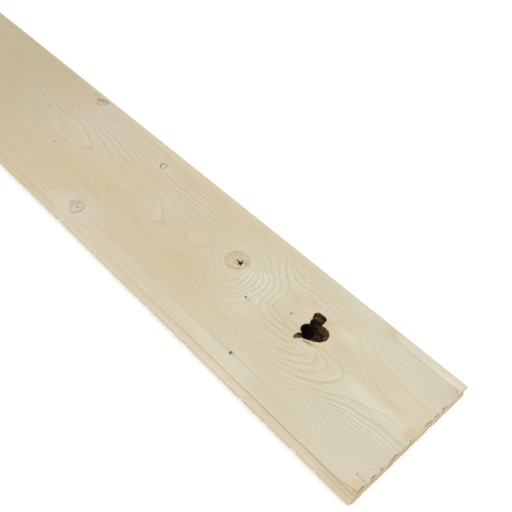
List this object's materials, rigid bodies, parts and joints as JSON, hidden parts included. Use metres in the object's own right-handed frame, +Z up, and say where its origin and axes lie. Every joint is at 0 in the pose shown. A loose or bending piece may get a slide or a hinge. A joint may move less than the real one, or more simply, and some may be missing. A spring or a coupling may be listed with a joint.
{
  "type": "tongue-and-groove timber plank",
  "caption": "Planed softwood board with a tongue along its long edge and a matching groove opposite, a bark-lined knot hole and a star-checked knot; for floors and panelling.",
  "frame": {"origin": "middle of the underside's rectangle, on the surface that the board lies on", "axes": "+X along the grain to the sawn near end, +Y across from the tongue to the groove, +Z up out of the face"},
  "size_m": [1.219, 0.181, 0.0183],
  "materials": {
    "softwood": "planed, unfinished knotty whitewood, pale cream with fine straw-coloured grain"
  },
  "bodies": {
    "root": {"plank": "softwood"}
  },
  "joints": []
}
